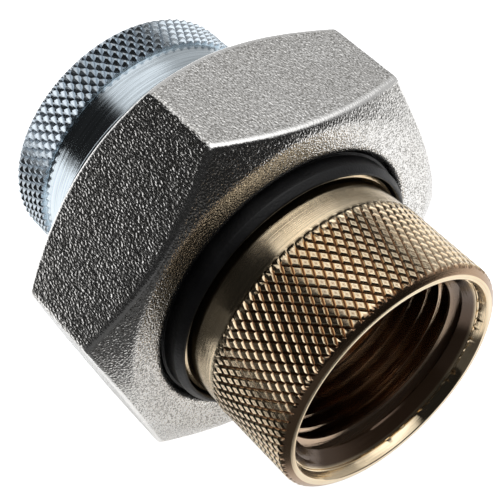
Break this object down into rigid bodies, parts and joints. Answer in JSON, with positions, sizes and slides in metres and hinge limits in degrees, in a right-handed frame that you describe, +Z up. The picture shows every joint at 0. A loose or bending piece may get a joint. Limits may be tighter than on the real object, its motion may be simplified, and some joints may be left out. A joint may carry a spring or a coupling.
{
  "type": "dielectric pipe union",
  "caption": "Straight pipe union with female pipe threads: a steel end and a brass end held together by a hex nut, kept apart by an insulating collar and a gasket.",
  "frame": {"origin": "on the union's axis, halfway between the two end faces", "axes": "+X along the union's axis towards the brass end; +Z up, square to one flat of the hex nut"},
  "size_m": [0.0508, 0.0526, 0.046],
  "materials": {
    "zinc_plated_steel": "bright zinc plate",
    "pale_brass": "turned and knurled, bright",
    "forged_steel": "rough, blasted",
    "black_nylon": "satin",
    "gasket_rubber": "matt"
  },
  "bodies": {
    "steel_half": {"steel_end": "zinc_plated_steel"},
    "collar": {"insulating_collar": "black_nylon"},
    "nut": {"union_nut": "forged_steel"},
    "brass_half": {"brass_end": "pale_brass", "sealing_gasket": "gasket_rubber"}
  },
  "joints": [
    {"name": "nut_advance", "type": "slide", "parent": "steel_half", "child": "collar", "axis": [1, 0, 0], "range_m": [0, 0.0058]},
    {"name": "nut_turn", "type": "hinge", "parent": "collar", "child": "nut", "pos_m": [0, 0, 0], "axis": [1, 0, 0], "range_deg": [0, 900]},
    {"name": "brass_swivel", "type": "hinge", "parent": "collar", "child": "brass_half", "pos_m": [0, 0, 0], "axis": [1, 0, 0], "continuous": true}
  ],
  "couplings": [
    {"joint": "nut_advance", "follows": "nut_turn", "m_per_rad": 0.0003675}
  ]
}
